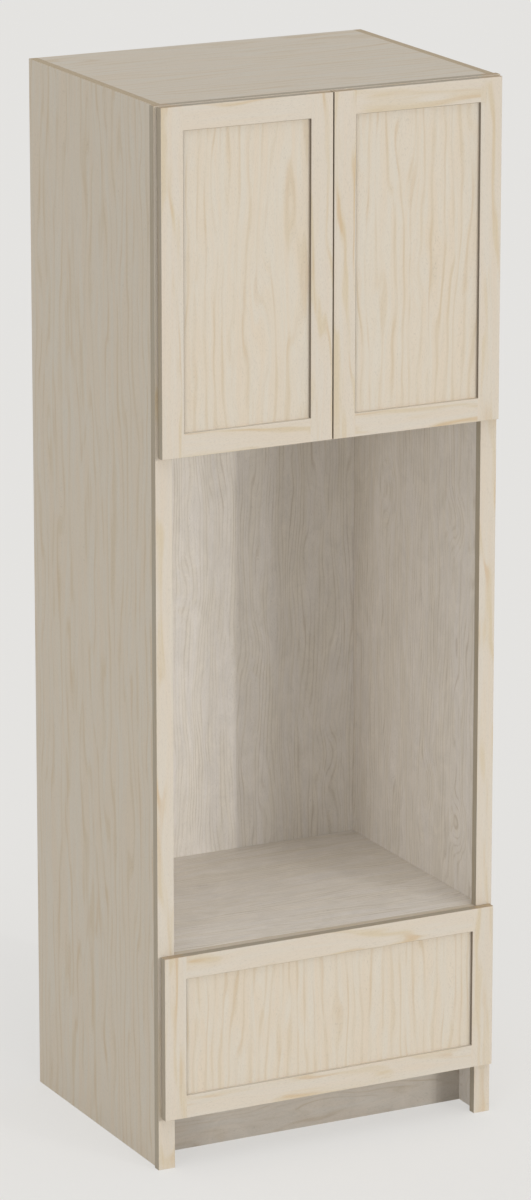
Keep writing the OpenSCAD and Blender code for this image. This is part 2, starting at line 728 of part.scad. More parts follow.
module drawer_box_back() color(PLY) difference() {
    slab(-x_slide, x_slide, y_box1 - box_t, y_box1, z_box, z_box + box_h);
    both_sides() tails(y_box1 - box_t, 1);
    bottom_space(0, 0);
}

module drawer_bottom() color(PLY) bottom_space(0.5, panel_fit);

// Screws from inside the box hold the drawer front
front_screw_l = box_t + door_t / 2;

module at_front_screws() for (x = [-0.7, -0.25, 0.25, 0.7], z = [z_box + 30, z_box + box_h - 16])
    translate([x * x_slide, y_box0 + box_t, z]) rotate([90, 0, 0]) children();

module drawer_screws() color(STEEL) {
    at_front_screws() wood_screw(front_screw_l);
    both_sides() at_member_screws() wood_screw(member_screw_l);
}

// ---------- drawer slides ----------

// A channel section: web against the plane at x = 0, lips towards -X
module channel(half_h, web_x, lip_x, l) {
    slab(web_x - member_t, web_x, 0, l, -half_h, half_h);
    for (s = [0, 1]) mirror([0, 0, s])
        slab(min(lip_x, web_x - member_t), max(lip_x, web_x), 0, l, half_h - member_t, half_h);
}

member_screw_l = member_t + box_t - 4;
member_screw_ys = [for (f = [0.08, 0.5, 0.9]) y_slide0 + f * slide_l];

// Screws of the cabinet member, driven outwards into the spacer
module at_slide_screws() for (y = [for (f = [0.1, 0.45, 0.8]) y_fb + f * slide_l])
    translate([x_open - member_t, y, z_slide]) rotate([0, 90, 0]) children();

// Screws of the drawer member, driven inwards into the drawer side
module at_member_screws() for (y = member_screw_ys)
    translate([x_slide + member_t, y, z_slide]) rotate([0, -90, 0]) children();

module cabinet_slide_members() color(STEEL) both_sides() difference() {
    translate([x_open, y_slide0, z_slide]) channel(slide_half_h, 0, -9, slide_l);
    at_slide_screws() screw_hole(slide_screw_l);
}

module intermediate_slide_members() color(STEEL) both_sides()
    translate([x_open, y_slide0, z_slide]) channel(mid_half_h, -2.6, -10, slide_l);

// The drawer member is turned over: its web lies on the drawer side
module drawer_slide_members() color(STEEL) both_sides() difference() {
    translate([x_slide, y_slide0, z_slide]) channel(in_half_h, member_t, 8, slide_l);
    at_member_screws() screw_hole(member_screw_l);
}

// A comb of thin strip with a ball in each pocket, above and below the inner member
module ball_cage(z_ball, x_ball, y0) {
    pitch = cage_l / ball_count;
    strip = 0.8;
    half = ball_gap / 2 - 0.4;
    for (s = [0, 1]) translate([0, y0, z_slide]) mirror([0, 0, s]) {
        slab(x_ball - ball_r - 0.2 - strip, x_ball - ball_r - 0.2, 0, cage_l,
            z_ball - half, z_ball + half);
        for (i = [0 : ball_count]) {
            w = pitch - 2 * ball_r - 0.4;
            ya = max(0, i * pitch - w / 2);
            yb = min(cage_l, i * pitch + w / 2);
            slab(x_ball - ball_r - 0.3, x_ball + ball_r / 2, ya, yb, z_ball - half, z_ball + half);
        }
        for (i = [0 : ball_count - 1])
            translate([x_ball, (i + 0.5) * pitch, z_ball]) sphere(r = ball_r);
    }
}

cage_y0 = y_slide0 + 150;
module outer_ball_cages() color(NICKEL) both_sides()
    ball_cage(mid_half_h + ball_gap / 2, x_open - 6, cage_y0);
module inner_ball_cages() color(NICKEL) both_sides()
    ball_cage(in_half_h + ball_gap / 2, x_open - 7.6, cage_y0);

left_side_panel();
right_side_panel();
top_panel();
upper_deck();
oven_deck();
bottom_panel();
back_panel();
toe_kick_board();
toe_kick_blocks();
hanging_rails();
deck_cleats();
slide_spacers();
shelf();
shelf_pins();
left_frame_stile();
right_frame_stile();
top_frame_rail();
upper_mid_rail();
lower_mid_rail();
bottom_frame_rail();
frame_dowels();
pocket_screws();
cabinet_screws();
bumpers();
left_hinge_arms();
right_hinge_arms();
hinge_arm_screws();
cabinet_slide_members();
left_door_hinge_stile();
left_door_meeting_stile();
left_door_top_rail();
left_door_bottom_rail();
left_door_panel();
left_hinge_cups();
left_cup_screws();
right_door_hinge_stile();
right_door_meeting_stile();
right_door_top_rail();
right_door_bottom_rail();
right_door_panel();
right_hinge_cups();
right_cup_screws();
left_hinge_links();
right_hinge_links();
drawer_front_left_stile();
drawer_front_right_stile();
drawer_front_top_rail();
drawer_front_bottom_rail();
drawer_front_panel();
drawer_front_backer();
left_drawer_side();
right_drawer_side();
drawer_box_front();
drawer_box_back();
drawer_bottom();
drawer_slide_members();
drawer_screws();
intermediate_slide_members();
outer_ball_cages();
inner_ball_cages();
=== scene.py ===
import itertools
import math

import bmesh
import bpy
import numpy as np
from mathutils import Matrix, Vector


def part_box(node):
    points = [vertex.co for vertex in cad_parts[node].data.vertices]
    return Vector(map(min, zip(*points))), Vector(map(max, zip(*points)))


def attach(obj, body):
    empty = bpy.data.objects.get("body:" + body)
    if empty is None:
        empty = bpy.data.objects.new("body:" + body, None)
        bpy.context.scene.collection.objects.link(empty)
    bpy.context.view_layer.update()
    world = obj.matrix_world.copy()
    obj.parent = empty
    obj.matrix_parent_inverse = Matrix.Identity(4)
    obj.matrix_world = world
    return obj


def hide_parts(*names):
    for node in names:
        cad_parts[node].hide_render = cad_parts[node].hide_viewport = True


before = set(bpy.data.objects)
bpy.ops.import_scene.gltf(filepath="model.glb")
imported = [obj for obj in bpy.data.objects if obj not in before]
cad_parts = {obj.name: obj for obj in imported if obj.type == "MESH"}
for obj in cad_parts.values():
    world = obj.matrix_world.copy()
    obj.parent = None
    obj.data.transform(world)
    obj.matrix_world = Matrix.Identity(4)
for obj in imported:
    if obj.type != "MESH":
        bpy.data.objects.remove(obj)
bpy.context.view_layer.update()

# ----------------------------------------------------------------------------------------------
# Side panels: 3/4 in plywood, maple veneer outside and grey birch inside, one long grain down to
# the floor. Sawn to size, with dadoes for the top, the decks and the bottom, a rabbet for the
# back and holes for the shelf pins.
# ----------------------------------------------------------------------------------------------
MM = 0.001
X, Y, Z = 0, 1, 2


def linear(code):
    """An sRGB hex colour as the linear RGBA that Blender's sockets want, by the sRGB curve."""
    parts = [int(code[k:k + 2], 16) / 255 for k in (0, 2, 4)]
    return [c / 12.92 if c <= 0.04045 else ((c + 0.055) / 1.055) ** 2.4 for c in parts] + [1.0]


def pick(sockets, key):
    """The socket that has this number, or the one in use that has this name."""
    if isinstance(key, int):
        return sockets[key]
    return next(s for s in sockets if s.enabled and s.name == key)


def add(tree, kind, settings, links):
    """Adds one node to a material, sets its properties and sockets, and links its inputs."""
    node = tree.nodes.new("ShaderNode" + kind)
    for key, value in settings.items():
        if key == "stops":
            ramp = node.color_ramp.elements
            ramp[0].position, ramp[0].color = value[0]
            ramp[1].position, ramp[1].color = value[-1]
            for place, colour in value[1:-1]:
                ramp.new(place).color = colour
        elif isinstance(key, str) and hasattr(node, key):
            setattr(node, key, value)
        else:
            pick(node.inputs, key).default_value = value
    for key, source in links.items():
        if isinstance(source, bpy.types.Node):
            source = next(s for s in source.outputs if s.enabled)
        tree.links.new(source, pick(node.inputs, key))
    return node


def new_material(name):
    """An empty material and its node tree."""
    material = bpy.data.materials.new(name)
    material.use_nodes = True
    material.node_tree.nodes.clear()
    return material, material.node_tree


def wave_scale(period):
    """The wave texture's scale for stripes or rings this far apart: its own period is 2 pi / 20."""
    return 2 * math.pi / (20 * period)


def wood(name, cool, rosy, line, streak, *, ring_pitch, line_share, streak_share, fleck, rough,
         swing=26 * MM, line_edge=0.50, mottle=0.0, curl=0.0, knot=0.0):
    """Lacquered maple or birch, read from the board's own grain coordinates in metres.

    Rings round a pith that runs along the board give the cathedral figure, and slow noise sways
    them. The ground turns from cool to rosy. line and streak colour the latewood and its tan
    hearts, and the shares say how much of them shows. line_edge thins the lines, fleck and mottle
    say how far fibres and clouds change the tone, and curl draws the clouds out. ring_pitch,
    swing and knot are in metres.
    """
    material, tree = new_material(name)
    grain = add(tree, "Attribute", {"attribute_name": "grain"}, {}).outputs["Vector"]
    # the whole figure sways, every 77 mm across and 420 mm along, and wavers faster and less
    slow = add(tree, "Mapping", {"Scale": (13, 13, 2.4)}, {"Vector": grain})
    sway = add(tree, "TexNoise", {"Scale": 1.0, "Detail": 2.0, "Roughness": 0.45},
               {"Vector": slow})
    swung = add(tree, "VectorMath", {"operation": "MULTIPLY_ADD", 1: (swing, swing, 0.0)},
                {0: sway.outputs["Color"], 2: grain})
    quick = add(tree, "Mapping", {"Scale": (38, 38, 6.5)}, {"Vector": grain})
    waver = add(tree, "TexNoise", {"Scale": 1.0, "Detail": 1.0}, {"Vector": quick})
    swayed = add(tree, "VectorMath", {"operation": "MULTIPLY_ADD", 1: (13 * MM, 13 * MM, 0.0)},
                 {0: waver.outputs["Color"], 2: swung})
    # small grown-over knots, one to some 300 x 450 mm of the board laid out flat: the growth
    # swells by up to knot, and the rings close round it
    spread_out = add(tree, "Mapping", {"Rotation": (math.pi / 2, 0, 0), "Scale": (3.3, 1, 2.2)},
                     {"Vector": grain})
    knots = add(tree, "TexVoronoi", {"voronoi_dimensions": "2D", "Scale": 1.0},
                {"Vector": spread_out})
    swelling = add(tree, "MapRange", {"interpolation_type": "SMOOTHSTEP", "From Max": 0.20,
                                      "To Min": knot, "To Max": 0.0},
                   {"Value": knots.outputs["Distance"]})
    raised = add(tree, "CombineXYZ", {}, {"Y": swelling})
    figure = add(tree, "VectorMath", {"operation": "ADD"}, {0: swayed, 1: raised})
    # ground: rosy and cool streaks of growth, some 17 mm wide and 420 mm long
    wide = add(tree, "Mapping", {"Scale": (60, 60, 2.4)}, {"Vector": figure})
    bands = add(tree, "TexNoise", {"Scale": 1.0, "Detail": 3.0, "Roughness": 0.6},
                {"Vector": wide})
    ground = add(tree, "ValToRGB", {"stops": [(0.36, linear(cool)), (0.62, linear(rosy))]},
                 {"Fac": bands.outputs["Fac"]})
    # growth rings, strongest where the growth is rosy and a tenth as strong where it is cool
    rings = add(tree, "TexWave", {"wave_type": "RINGS", "rings_direction": "Z",
                                  "Scale": wave_scale(ring_pitch)}, {"Vector": figure})
    late = add(tree, "MapRange", {"interpolation_type": "SMOOTHSTEP", "From Min": line_edge},
               {"Value": rings.outputs["Fac"]})
    strength = add(tree, "MapRange", {"From Min": 0.40, "From Max": 0.60,
                                      "To Min": 0.1 * line_share, "To Max": line_share},
                   {"Value": bands.outputs["Fac"]})
    lines = add(tree, "Math", {"operation": "MULTIPLY"}, {0: late, 1: strength})
    lined = add(tree, "Mix", {"data_type": "RGBA", "B": linear(line)},
                {"Factor": lines, "A": ground})
    # the heart of some latewood lines is tan for 100 to 200 mm of their length: it starts 72 %
    # of the way from a line's edge to its middle
    heart_edge = 0.72 + 0.28 * line_edge
    narrow = add(tree, "MapRange", {"interpolation_type": "SMOOTHSTEP", "From Min": heart_edge},
                 {"Value": rings.outputs["Fac"]})
    patch = add(tree, "Mapping", {"Scale": (36, 36, 5.0), "Location": (3.1, 0.7, 5.3)},
                {"Vector": grain})
    where = add(tree, "TexNoise", {"Scale": 1.0, "Detail": 1.0}, {"Vector": patch})
    tan = add(tree, "MapRange", {"From Min": 0.48, "From Max": 0.70, "To Max": streak_share},
              {"Value": where.outputs["Fac"]})
    hearts = add(tree, "Math", {"operation": "MULTIPLY"}, {0: narrow, 1: tan})
    streaked = add(tree, "Mix", {"data_type": "RGBA", "B": linear(streak)},
                   {"Factor": hearts, "A": lined})
    # fine long fibres, drawn 2.5 mm wide so that they show at a few metres
    thin = add(tree, "Mapping", {"Scale": (400, 400, 9)}, {"Vector": figure})
    fibres = add(tree, "TexNoise", {"Scale": 1.0, "Detail": 5.0, "Roughness": 0.72},
                 {"Vector": thin})
    fibre_tone = add(tree, "MapRange", {"From Min": 0.3, "From Max": 0.7,
                                        "To Min": 1 - fleck, "To Max": 1 + fleck},
                     {"Value": fibres.outputs["Fac"]})
    # mottle: light and dark clouds, 45 mm across and 90 mm along, as in curly birch
    cloud = add(tree, "Mapping", {"Scale": (22, 22, 11), "Location": (1.7, 4.1, 0.3)},
                {"Vector": figure})
    clouds = add(tree, "TexNoise", {"Scale": 1.0, "Detail": 3.0, "Roughness": 0.6,
                                    "Distortion": curl}, {"Vector": cloud})
    cloud_tone = add(tree, "MapRange", {"From Min": 0.3, "From Max": 0.7,
                                        "To Min": 1 - mottle, "To Max": 1 + mottle},
                     {"Value": clouds.outputs["Fac"]})
    clouded = add(tree, "Math", {"operation": "MULTIPLY"}, {0: fibre_tone, 1: cloud_tone})
    # short brown flecks, 0.7 mm wide and 7 mm long, that show from close by
    short = add(tree, "Mapping", {"Scale": (1500, 1500, 150)}, {"Vector": figure})
    flecks = add(tree, "TexNoise", {"Scale": 1.0, "Detail": 1.0}, {"Vector": short})
    fleck_tone = add(tree, "MapRange", {"From Min": 0.56, "From Max": 0.74,
                                        "To Min": 1.0, "To Max": 0.86},
                     {"Value": flecks.outputs["Fac"]})
    tone = add(tree, "Math", {"operation": "MULTIPLY"}, {0: clouded, 1: fleck_tone})
    colour = add(tree, "VectorMath", {"operation": "SCALE"}, {0: streaked, "Scale": tone})
    # the lacquer sinks a little into the fibres, so its shine and its surface follow them
    sheen = add(tree, "MapRange", {"To Min": rough - 0.06, "To Max": rough + 0.06},
                {"Value": fibres.outputs["Fac"]})
    bump = add(tree, "Bump", {"Strength": 0.25, "Distance": 0.2 * MM},
               {"Height": fibres.outputs["Fac"]})
    shader = add(tree, "BsdfPrincipled", {"IOR": 1.5, "Specular IOR Level": 0.35},
                 {"Base Color": colour, "Roughness": sheen, "Normal": bump})
    add(tree, "OutputMaterial", {}, {"Surface": shader})
    return material


# hard maple, plain-sliced veneer, sanded and matt lacquered: cream with quiet tan lines
maple_veneer = wood("hard_maple_veneer_matt_lacquer", "cfc6b7", "d0c3b0", "c6b79e", "c3ab8b",
                    ring_pitch=21 * MM, line_share=0.62, streak_share=0.38, fleck=0.026,
                    rough=0.52, swing=85 * MM, line_edge=0.58)
# birch veneer, sanded and thinly lacquered: greyer, with mottled light and dark clouds
birch_figure = {"ring_pitch": 8 * MM, "line_share": 0.6, "streak_share": 0.40, "fleck": 0.040,
                "swing": 70 * MM, "mottle": 0.05, "curl": 1.4}
birch_veneer = wood("birch_veneer_thin_lacquer", "e3ddd6", "e1dacf", "d1c8bb", "bcae9d",
                    rough=0.50, knot=30 * MM, **birch_figure)


def ply_edge_material():
    """Birch plywood, sawn edge: thin plies turn about, light long grain and browner end grain."""
    material, tree = new_material("birch_plywood_sawn_edge")
    grain = add(tree, "Attribute", {"attribute_name": "grain"}, {}).outputs["Vector"]
    # 13 plies in 19 mm: a light and a dark one every 2.93 mm
    plies = add(tree, "TexWave", {"bands_direction": "Y", "Scale": wave_scale(2.93 * MM),
                                  "Distortion": 0.15, "Detail": 1.0}, {"Vector": grain})
    stripe = add(tree, "ValToRGB", {"stops": [(0.0, linear("cbbda4")), (0.44, linear("c6b79a")),
                                              (0.50, linear("937d66")), (0.56, linear("b09c80")),
                                              (1.0, linear("a79277"))]},
                 {"Fac": plies.outputs["Fac"]})
    # torn fibres, 1.4 mm across, 0.4 mm through and 11 mm along the board
    fine = add(tree, "Mapping", {"Scale": (700, 2400, 90)}, {"Vector": grain})
    fuzz = add(tree, "TexNoise", {"Scale": 1.0, "Detail": 3.0}, {"Vector": fine})
    tone = add(tree, "MapRange", {"From Min": 0.3, "From Max": 0.7,
                                  "To Min": 0.88, "To Max": 1.08},
               {"Value": fuzz.outputs["Fac"]})
    colour = add(tree, "VectorMath", {"operation": "SCALE"}, {0: stripe, "Scale": tone})
    bump = add(tree, "Bump", {"Strength": 0.4, "Distance": 0.3 * MM},
               {"Height": fuzz.outputs["Fac"]})
    shader = add(tree, "BsdfPrincipled",
                 {"IOR": 1.5, "Roughness": 0.72, "Specular IOR Level": 0.3},
                 {"Base Color": colour, "Normal": bump})
    add(tree, "OutputMaterial", {}, {"Surface": shader})
    return material


ply_edge = ply_edge_material()


def start_edit(piece):
    """Selects one piece alone and opens it in edit mode, in which nothing is selected."""
    bpy.ops.object.select_all(action="DESELECT")
    bpy.context.view_layer.objects.active = piece
    piece.select_set(True)
    bpy.ops.object.mode_set(mode="EDIT")
    bpy.ops.mesh.select_mode(type="EDGE")
    bpy.ops.mesh.select_all(action="DESELECT")


def merged_copy(node, name):
    """A copy of a CAD node's mesh, its loose triangles joined and its flat faces made whole."""
    piece = bpy.data.objects.new(name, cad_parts[node].data.copy())
    bpy.context.scene.collection.objects.link(piece)
    piece.data.materials.clear()
    start_edit(piece)
    bpy.ops.mesh.select_all(action="SELECT")
    bpy.ops.mesh.remove_doubles(threshold=0.01 * MM)
    bpy.ops.mesh.dissolve_limited(angle_limit=math.radians(0.3))
    bpy.ops.object.mode_set(mode="OBJECT")
    return piece


def on_rim(edge, low, high):
    """True for an edge in one of the left, right, lower or upper sides of a box."""
    touch = 0.1 * MM
    middle = (edge.verts[0].co + edge.verts[1].co) / 2
    return any(abs(middle[k] - side[k]) < touch for k in (X, Z) for side in (low, high))


def ease_edges(piece, width, shortest, rim):
    """Breaks the long outer edges with a fine sanded round.

    With a rim box, only those on its sides.
    """
    corner = math.radians(50)
    start_edit(piece)
    cage = bmesh.from_edit_mesh(piece.data)
    for edge in cage.edges:
        sharp = edge.is_manifold and edge.calc_face_angle_signed() > corner
        wanted = rim is None or on_rim(edge, *rim)
        edge.select = sharp and edge.calc_length() > shortest and wanted
    bmesh.update_edit_mesh(piece.data)
    if any(edge.select for edge in cage.edges):
        bpy.ops.mesh.bevel(offset=width, segments=2, affect="EDGES", clamp_overlap=True)
    bpy.ops.object.mode_set(mode="OBJECT")


def loose_parts(mesh):
    """For each vertex, the number of the separate solid that it belongs to."""
    root = list(range(len(mesh.vertices)))

    def top(v):
        while root[v] != v:
            root[v] = root[root[v]]
            v = root[v]
        return v

    for edge in mesh.edges:
        a, b = top(edge.vertices[0]), top(edge.vertices[1])
        root[max(a, b)] = min(a, b)
    return [top(v) for v in range(len(root))]


board_numbers = itertools.count(1)


def lay_grain(piece, along, through):
    """Gives each separate board its own grain: across, through and along it, in metres."""
    across = ({X, Y, Z} - {along, through}).pop()
    part = loose_parts(piece.data)
    box = {}
    for vertex, number in zip(piece.data.vertices, part):
        low, high = box.setdefault(number, (list(vertex.co), list(vertex.co)))
        for k in (X, Y, Z):
            low[k], high[k] = min(low[k], vertex.co[k]), max(high[k], vertex.co[k])
    log = {}
    for number in sorted(box):
        low, high = box[number]
        board = next(board_numbers)
        # three numbers from 0 to 1 that differ from board to board
        aside, depth, place = [(board * step) % 1.0 for step in (0.618, 0.414, 0.732)]
        # the pith lies within 3/4 of the board's width of its middle, 50 to 100 mm below it
        wide = high[across] - low[across]
        pith = (low[across] + high[across]) / 2 + (aside - 0.5) * 1.5 * wide
        under = low[through] - 50 * MM - 50 * MM * depth
        # each board starts at its own place on a long log, up to 7 m along it, and a metre on
        # from the last. The pith leans away from the board by 1 in 28 to 1 in 58, so that the
        # rings close in cathedrals along it
        start = low[along] - 7 * place - board
        lean = 1 / (28 + 30 * place)
        log[number] = (pith, under, start, lean, low[along])
    values = []
    for vertex, number in zip(piece.data.vertices, part):
        pith, under, start, lean, foot = log[number]
        deep = vertex.co[through] - under + lean * (vertex.co[along] - foot)
        values += [vertex.co[across] - pith, deep, vertex.co[along] - start]
    attribute = piece.data.attributes.new("grain", "FLOAT_VECTOR", "POINT")
    attribute.data.foreach_set("vector", values)


def skin(piece, faces, rest):
    """Puts a material on the faces that look each way (-x, +x and so on), another on the rest."""
    slots = [rest] + [m for m in dict.fromkeys(faces.values()) if m is not rest]
    for material in slots:
        piece.data.materials.append(material)
    for face in piece.data.polygons:
        k = max((X, Y, Z), key=lambda axis: abs(face.normal[axis]))
        side = ("-" if face.normal[k] < 0 else "+") + "xyz"[k]
        face.material_index = slots.index(faces.get(side, rest))


def stand_in(piece, node, body):
    """Puts a finished piece in the place of its CAD node."""
    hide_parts(node)
    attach(piece, body)


def cut_board(node, body, along, through, faces, rest, eased=0.6, shortest=20, rim=None):
    """One board, or one set of like boards, made from its CAD node and put in its place.

    Outer edges longer than shortest are rounded over a width of eased, both in mm.
    """
    piece = merged_copy(node, node + "_board")
    ease_edges(piece, eased * MM, shortest * MM, rim)
    lay_grain(piece, along, through)
    skin(piece, faces, rest)
    stand_in(piece, node, body)


cut_board("left_side_panel", "cabinet", Z, X,
          {"-x": maple_veneer, "+x": birch_veneer}, ply_edge)
cut_board("right_side_panel", "cabinet", Z, X,
          {"+x": maple_veneer, "-x": birch_veneer}, ply_edge)

# ----------------------------------------------------------------------------------------------
# Top, decks, bottom, shelf and back: plywood let into the dadoes and the rabbet, grain from side
# to side on the flat ones and upright on the back. The shelf lies loose on its pins.
# ----------------------------------------------------------------------------------------------
birch_flat = {"-z": birch_veneer, "+z": birch_veneer}
birch_upright = {"-y": birch_veneer, "+y": birch_veneer}
cut_board("top_panel", "cabinet", X, Z,
          {"+z": maple_veneer, "-z": birch_veneer}, ply_edge)
for deck in ("upper_deck", "oven_deck", "bottom_panel"):
    cut_board(deck, "cabinet", X, Z, birch_flat, ply_edge)
# the shelf's front edge is lipped with a maple strip
cut_board("shelf", "cabinet", X, Z, {**birch_flat, "-y": maple_veneer}, ply_edge)
cut_board("back_panel", "cabinet", Z, Y, birch_upright, ply_edge, eased=0.4)

# ----------------------------------------------------------------------------------------------
# Inner boards: hanging rails, cleats, slide spacers, toe kick and its glue blocks. Plywood strips
# and planed maple, glued and screwed, that stiffen the box.
# ----------------------------------------------------------------------------------------------
# hard maple, planed, sanded and matt lacquered: cream, with tan lines and hearts
maple = wood("hard_maple_planed_matt_lacquer", "cec5b7", "cfc3b2", "c9ba9f", "c4a985",
             ring_pitch=14 * MM, line_share=0.85, streak_share=0.65, fleck=0.020, rough=0.50,
             swing=35 * MM, line_edge=0.60)
# end grain, cut by a fine saw: darker, since it drinks more lacquer
maple_end = wood("hard_maple_end_grain_lacquered", "b3a08a", "b9a587", "a58d6c", "8f7350",
                 ring_pitch=4 * MM, line_share=0.8, streak_share=0.9, fleck=0.05, rough=0.60)
# the toe kick's face: birch veneer with a rougher finish, its colour painted darker as the shade in
# the recess under the front
toe_kick_birch_painted_shade = wood("birch_veneer_toe_kick_painted_shade", "b8b1a7", "b9afa2", "aea292", "9d8d78", rough=0.66,
                 **birch_figure)
cut_board("hanging_rails", "cabinet", X, Y, birch_upright, ply_edge)
cut_board("deck_cleats", "cabinet", X, Y, birch_upright, ply_edge)
cut_board("slide_spacers", "cabinet", Y, X,
          {"-x": birch_veneer, "+x": birch_veneer}, ply_edge)
# its face takes the birch with the painted shade of the recess
cut_board("toe_kick_board", "cabinet", X, Y,
          {"-y": toe_kick_birch_painted_shade, "+y": birch_veneer}, ply_edge)
cut_board("toe_kick_blocks", "cabinet", Z, X, {"-z": maple_end, "+z": maple_end}, maple)

# ----------------------------------------------------------------------------------------------
# Face frame: solid maple, two stiles with four rails between them. Planed square, joined by
# pocket screws from behind, sanded flush and matt lacquered.
# ----------------------------------------------------------------------------------------------
# edges of the members, planed across the growth: their colour is painted darker, as the shade that
# falls on the narrow faces
edge_figure = {"ring_pitch": 6 * MM, "line_share": 0.7, "streak_share": 0.5, "fleck": 0.03,
               "rough": 0.58}
maple_edge_painted_shade = wood("hard_maple_edge_painted_shade", "aba292", "aea28f", "a3957d", "927d60", **edge_figure)
# the narrow sides of stiles and rails carry the painted edge shade, and their ends the darker end
# grain
stile_sides = {"-x": maple_edge_painted_shade, "+x": maple_edge_painted_shade, "-z": maple_end, "+z": maple_end}
rail_sides = {"-x": maple_end, "+x": maple_end, "-z": maple_edge_painted_shade, "+z": maple_edge_painted_shade}


def whole_box(nodes):
    """Lowest and highest corner of several CAD nodes together."""
    boxes = [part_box(node) for node in nodes]
    return (Vector([min(low[k] for low, high in boxes) for k in (X, Y, Z)]),
            Vector([max(high[k] for low, high in boxes) for k in (X, Y, Z)]))


frame_stiles = ("left_frame_stile", "right_frame_stile")
frame_rim = whole_box(frame_stiles)
for stile in frame_stiles:
    cut_board(stile, "cabinet", Z, Y, stile_sides, maple, rim=frame_rim)
for rail in ("top_frame_rail", "upper_mid_rail"):
    cut_board(rail, "cabinet", X, Y, rail_sides, maple, rim=frame_rim)
# the rail at the deck's front edge has plain maple on its top, without the painted edge shade
cut_board("lower_mid_rail", "cabinet", X, Y, {**rail_sides, "+z": maple}, maple,
          rim=frame_rim)
cut_board("bottom_frame_rail", "cabinet", X, Y, rail_sides, maple, rim=frame_rim)

# ----------------------------------------------------------------------------------------------
# Doors: solid maple stiles and rails with short tenons, glued round a flat veneered panel that
# floats in a groove. The inner front edge is broken by a small sanded round.
# ----------------------------------------------------------------------------------------------
# the walls of the recess beside the panel and the round along it are painted dark, as the shade
# that lies in the recess
recess_painted_shade = wood("hard_maple_recess_painted_shade", "80766a", "827668", "7a6d5b", "6c5b45",
                 **edge_figure)


recess_round = 0.9 * MM
recess_reach = 1.2 * MM  # takes in the round and the wall beside the panel, and no other face


def on_outline(point, low, high, reach):
    """True for a point within reach of the outline of a rectangle that stands in the XZ plane."""
    inside = all(low[k] - reach < point[k] < high[k] + reach for k in (X, Z))
    core = all(low[k] + reach < point[k] < high[k] - reach for k in (X, Z))
    return inside and not core


def break_recess(piece, low, high):
    """Rounds the front edge of a member along the sunk panel, and stops at the corners."""
    start_edit(piece)
    for corner_z in (low.z, high.z):
        bpy.ops.mesh.select_all(action="SELECT")
        bpy.ops.mesh.bisect(plane_co=(0, 0, corner_z), plane_no=(0, 0, 1))
    bpy.ops.mesh.select_all(action="DESELECT")
    cage = bmesh.from_edit_mesh(piece.data)
    touch, shortest = 0.05 * MM, 50 * MM
    front = min(v.co.y for v in cage.verts)
    for edge in cage.edges:
        ends = [v.co for v in edge.verts]
        edge.select = edge.calc_length() > shortest and all(
            on_outline(end, low, high, touch) and end.y < front + touch for end in ends)
    bmesh.update_edit_mesh(piece.data)
    bpy.ops.mesh.bevel(offset=recess_round, segments=2, affect="EDGES", clamp_overlap=True)
    bpy.ops.object.mode_set(mode="OBJECT")


def frame_member(node, body, along, sides, rim, recess, wall, broken):
    """A stile or rail beside a sunk panel, with materials for the recess's wall and broken edge, in
    which the callers paint the recess's shade.
    """
    piece = merged_copy(node, node + "_board")
    ease_edges(piece, width=0.6 * MM, shortest=20 * MM, rim=rim)
    break_recess(piece, *recess)
    lay_grain(piece, along, Y)
    skin(piece, sides, maple)
    wall_slot = len(piece.data.materials)
    broken_slot = wall_slot + 1
    piece.data.materials.append(wall)
    piece.data.materials.append(broken)
    for face in piece.data.polygons:
        looks_ahead = face.normal.y <= -0.99
        looks_aside = abs(face.normal.y) < 0.1
        if on_outline(face.center, *recess, recess_reach) and not looks_ahead:
            face.material_index = wall_slot if looks_aside else broken_slot
    stand_in(piece, node, body)


def framed_front(prefix, body, stiles):
    """The four frame members and the panel of a door or of the drawer front."""
    stiles = [prefix + stile for stile in stiles]
    rails = [prefix + rail for rail in ("_top_rail", "_bottom_rail")]
    rim = whole_box(stiles + rails)
    left, right = sorted((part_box(stile) for stile in stiles), key=lambda box: box[0].x)
    top, bottom = (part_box(rail) for rail in rails)
    recess = (Vector((left[1].x, 0, bottom[1].z)), Vector((right[0].x, 0, top[0].z)))
    # the stiles' recess walls and rounds get the painted recess shade; the rails' rounds get the
    # painted edge shade and their walls plain maple
    for stile in stiles:
        frame_member(stile, body, Z, stile_sides, rim, recess, recess_painted_shade, recess_painted_shade)
    for rail in rails:
        frame_member(rail, body, X, rail_sides, rim, recess, maple, maple_edge_painted_shade)
    cut_board(prefix + "_panel", body, Z, Y,
              {"-y": maple_veneer, "+y": maple_veneer}, ply_edge, eased=0.3)


framed_front("left_door", "left_door", ("_hinge_stile", "_meeting_stile"))
framed_front("right_door", "right_door", ("_hinge_stile", "_meeting_stile"))

# ----------------------------------------------------------------------------------------------
# Drawer: a framed front like the doors, screwed to a box of solid maple with dovetailed corners
# and a plywood bottom in a groove.
# ----------------------------------------------------------------------------------------------
framed_front("drawer_front", "drawer", ("_left_stile", "_right_stile"))
cut_board("drawer_front_backer", "drawer", X, Y, birch_upright, ply_edge, eased=0.3)
for side in ("left_drawer_side", "right_drawer_side"):
    cut_board(side, "drawer", Y, X, {"-y": maple_end, "+y": maple_end}, maple,
              eased=0.15, shortest=60)
for end in ("drawer_box_front", "drawer_box_back"):
    cut_board(end, "drawer", X, Y, {"-x": maple_end, "+x": maple_end}, maple,
              eased=0.15, shortest=60)
cut_board("drawer_bottom", "drawer", X, Z, birch_flat, ply_edge, eased=0.3)


